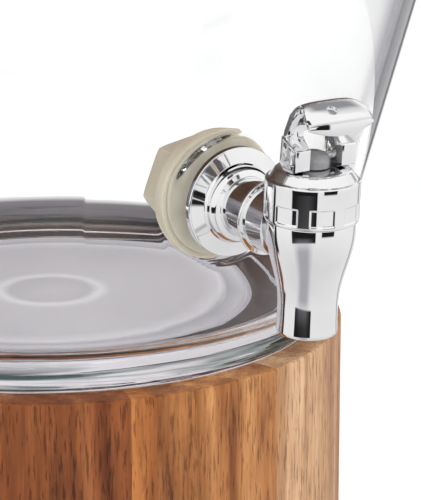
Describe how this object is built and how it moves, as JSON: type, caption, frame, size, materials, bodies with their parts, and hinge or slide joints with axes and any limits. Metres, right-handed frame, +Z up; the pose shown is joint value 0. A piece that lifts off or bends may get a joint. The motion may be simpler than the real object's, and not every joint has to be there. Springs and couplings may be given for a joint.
{
  "type": "countertop liquid dispenser with lever tap",
  "caption": "Flared glass dispenser jar with a plated lever tap, nylon back nut, wooden stave base ring and lift-off wooden lid.",
  "frame": {"origin": "centre of the base ring's foot, on the surface that it stands on", "axes": "+Z up along the jar's axis, the tap points along -Y, +X to the right of the tap as seen from the front"},
  "size_m": [0.3156, 0.3516, 0.31],
  "materials": {
    "wood_brown": "oiled",
    "wood_tan": "oiled",
    "wood_red": "oiled",
    "wood_orange": "oiled",
    "lid_wood": "oiled",
    "glass": "clear",
    "chrome": "polished plating",
    "nylon": "milky, slightly translucent",
    "grey_plastic": "smooth",
    "silicone": "translucent",
    "foot_rubber": "matt",
    "pin_steel": "plain"
  },
  "bodies": {
    "base": {"stave_1": "wood_brown", "stave_2": "wood_tan", "stave_3": "wood_brown", "stave_4": "wood_brown", "stave_5": "wood_red", "stave_6": "wood_brown", "stave_7": "wood_tan", "stave_8": "wood_red", "stave_9": "wood_brown", "stave_10": "wood_tan", "stave_11": "wood_brown", "stave_12": "wood_red", "stave_13": "wood_red", "stave_14": "wood_orange", "foot_ring": "foot_rubber"},
    "jar": {"glass_jar": "glass", "outer_washer": "silicone", "inner_washer": "silicone", "hex_nut": "nylon", "shank": "chrome", "tap_body": "chrome", "bonnet": "chrome", "seat_cup": "silicone"},
    "lid": {"lid_board": "lid_wood", "lid_seal": "silicone", "lid_knob": "lid_wood", "knob_screw": "pin_steel"},
    "stem": {"stem": "grey_plastic"},
    "lever": {"lever": "chrome", "lever_pin": "pin_steel"}
  },
  "joints": [
    {"name": "jar_lift", "type": "slide", "parent": "base", "child": "jar", "axis": [0, 0, 1], "range_m": [0, 0.06]},
    {"name": "lid_lift", "type": "slide", "parent": "jar", "child": "lid", "axis": [0, 0, 1], "range_m": [0, 0.08]},
    {"name": "stem_lift", "type": "slide", "parent": "jar", "child": "stem", "axis": [0, -0.0506, 0.9987], "range_m": [0, 0.00279], "stiffness_N_per_m": 1500, "springref_m": -0.002, "deforming": ["seat_cup"]},
    {"name": "lever_turn", "type": "hinge", "parent": "stem", "child": "lever", "pos_m": [0, -0.17624, 0.19768], "axis": [1, 0, 0], "range_deg": [0, 40]}
  ],
  "couplings": [
    {"joint": "lever_turn", "follows": "stem_lift", "rad_per_m": 250}
  ]
}
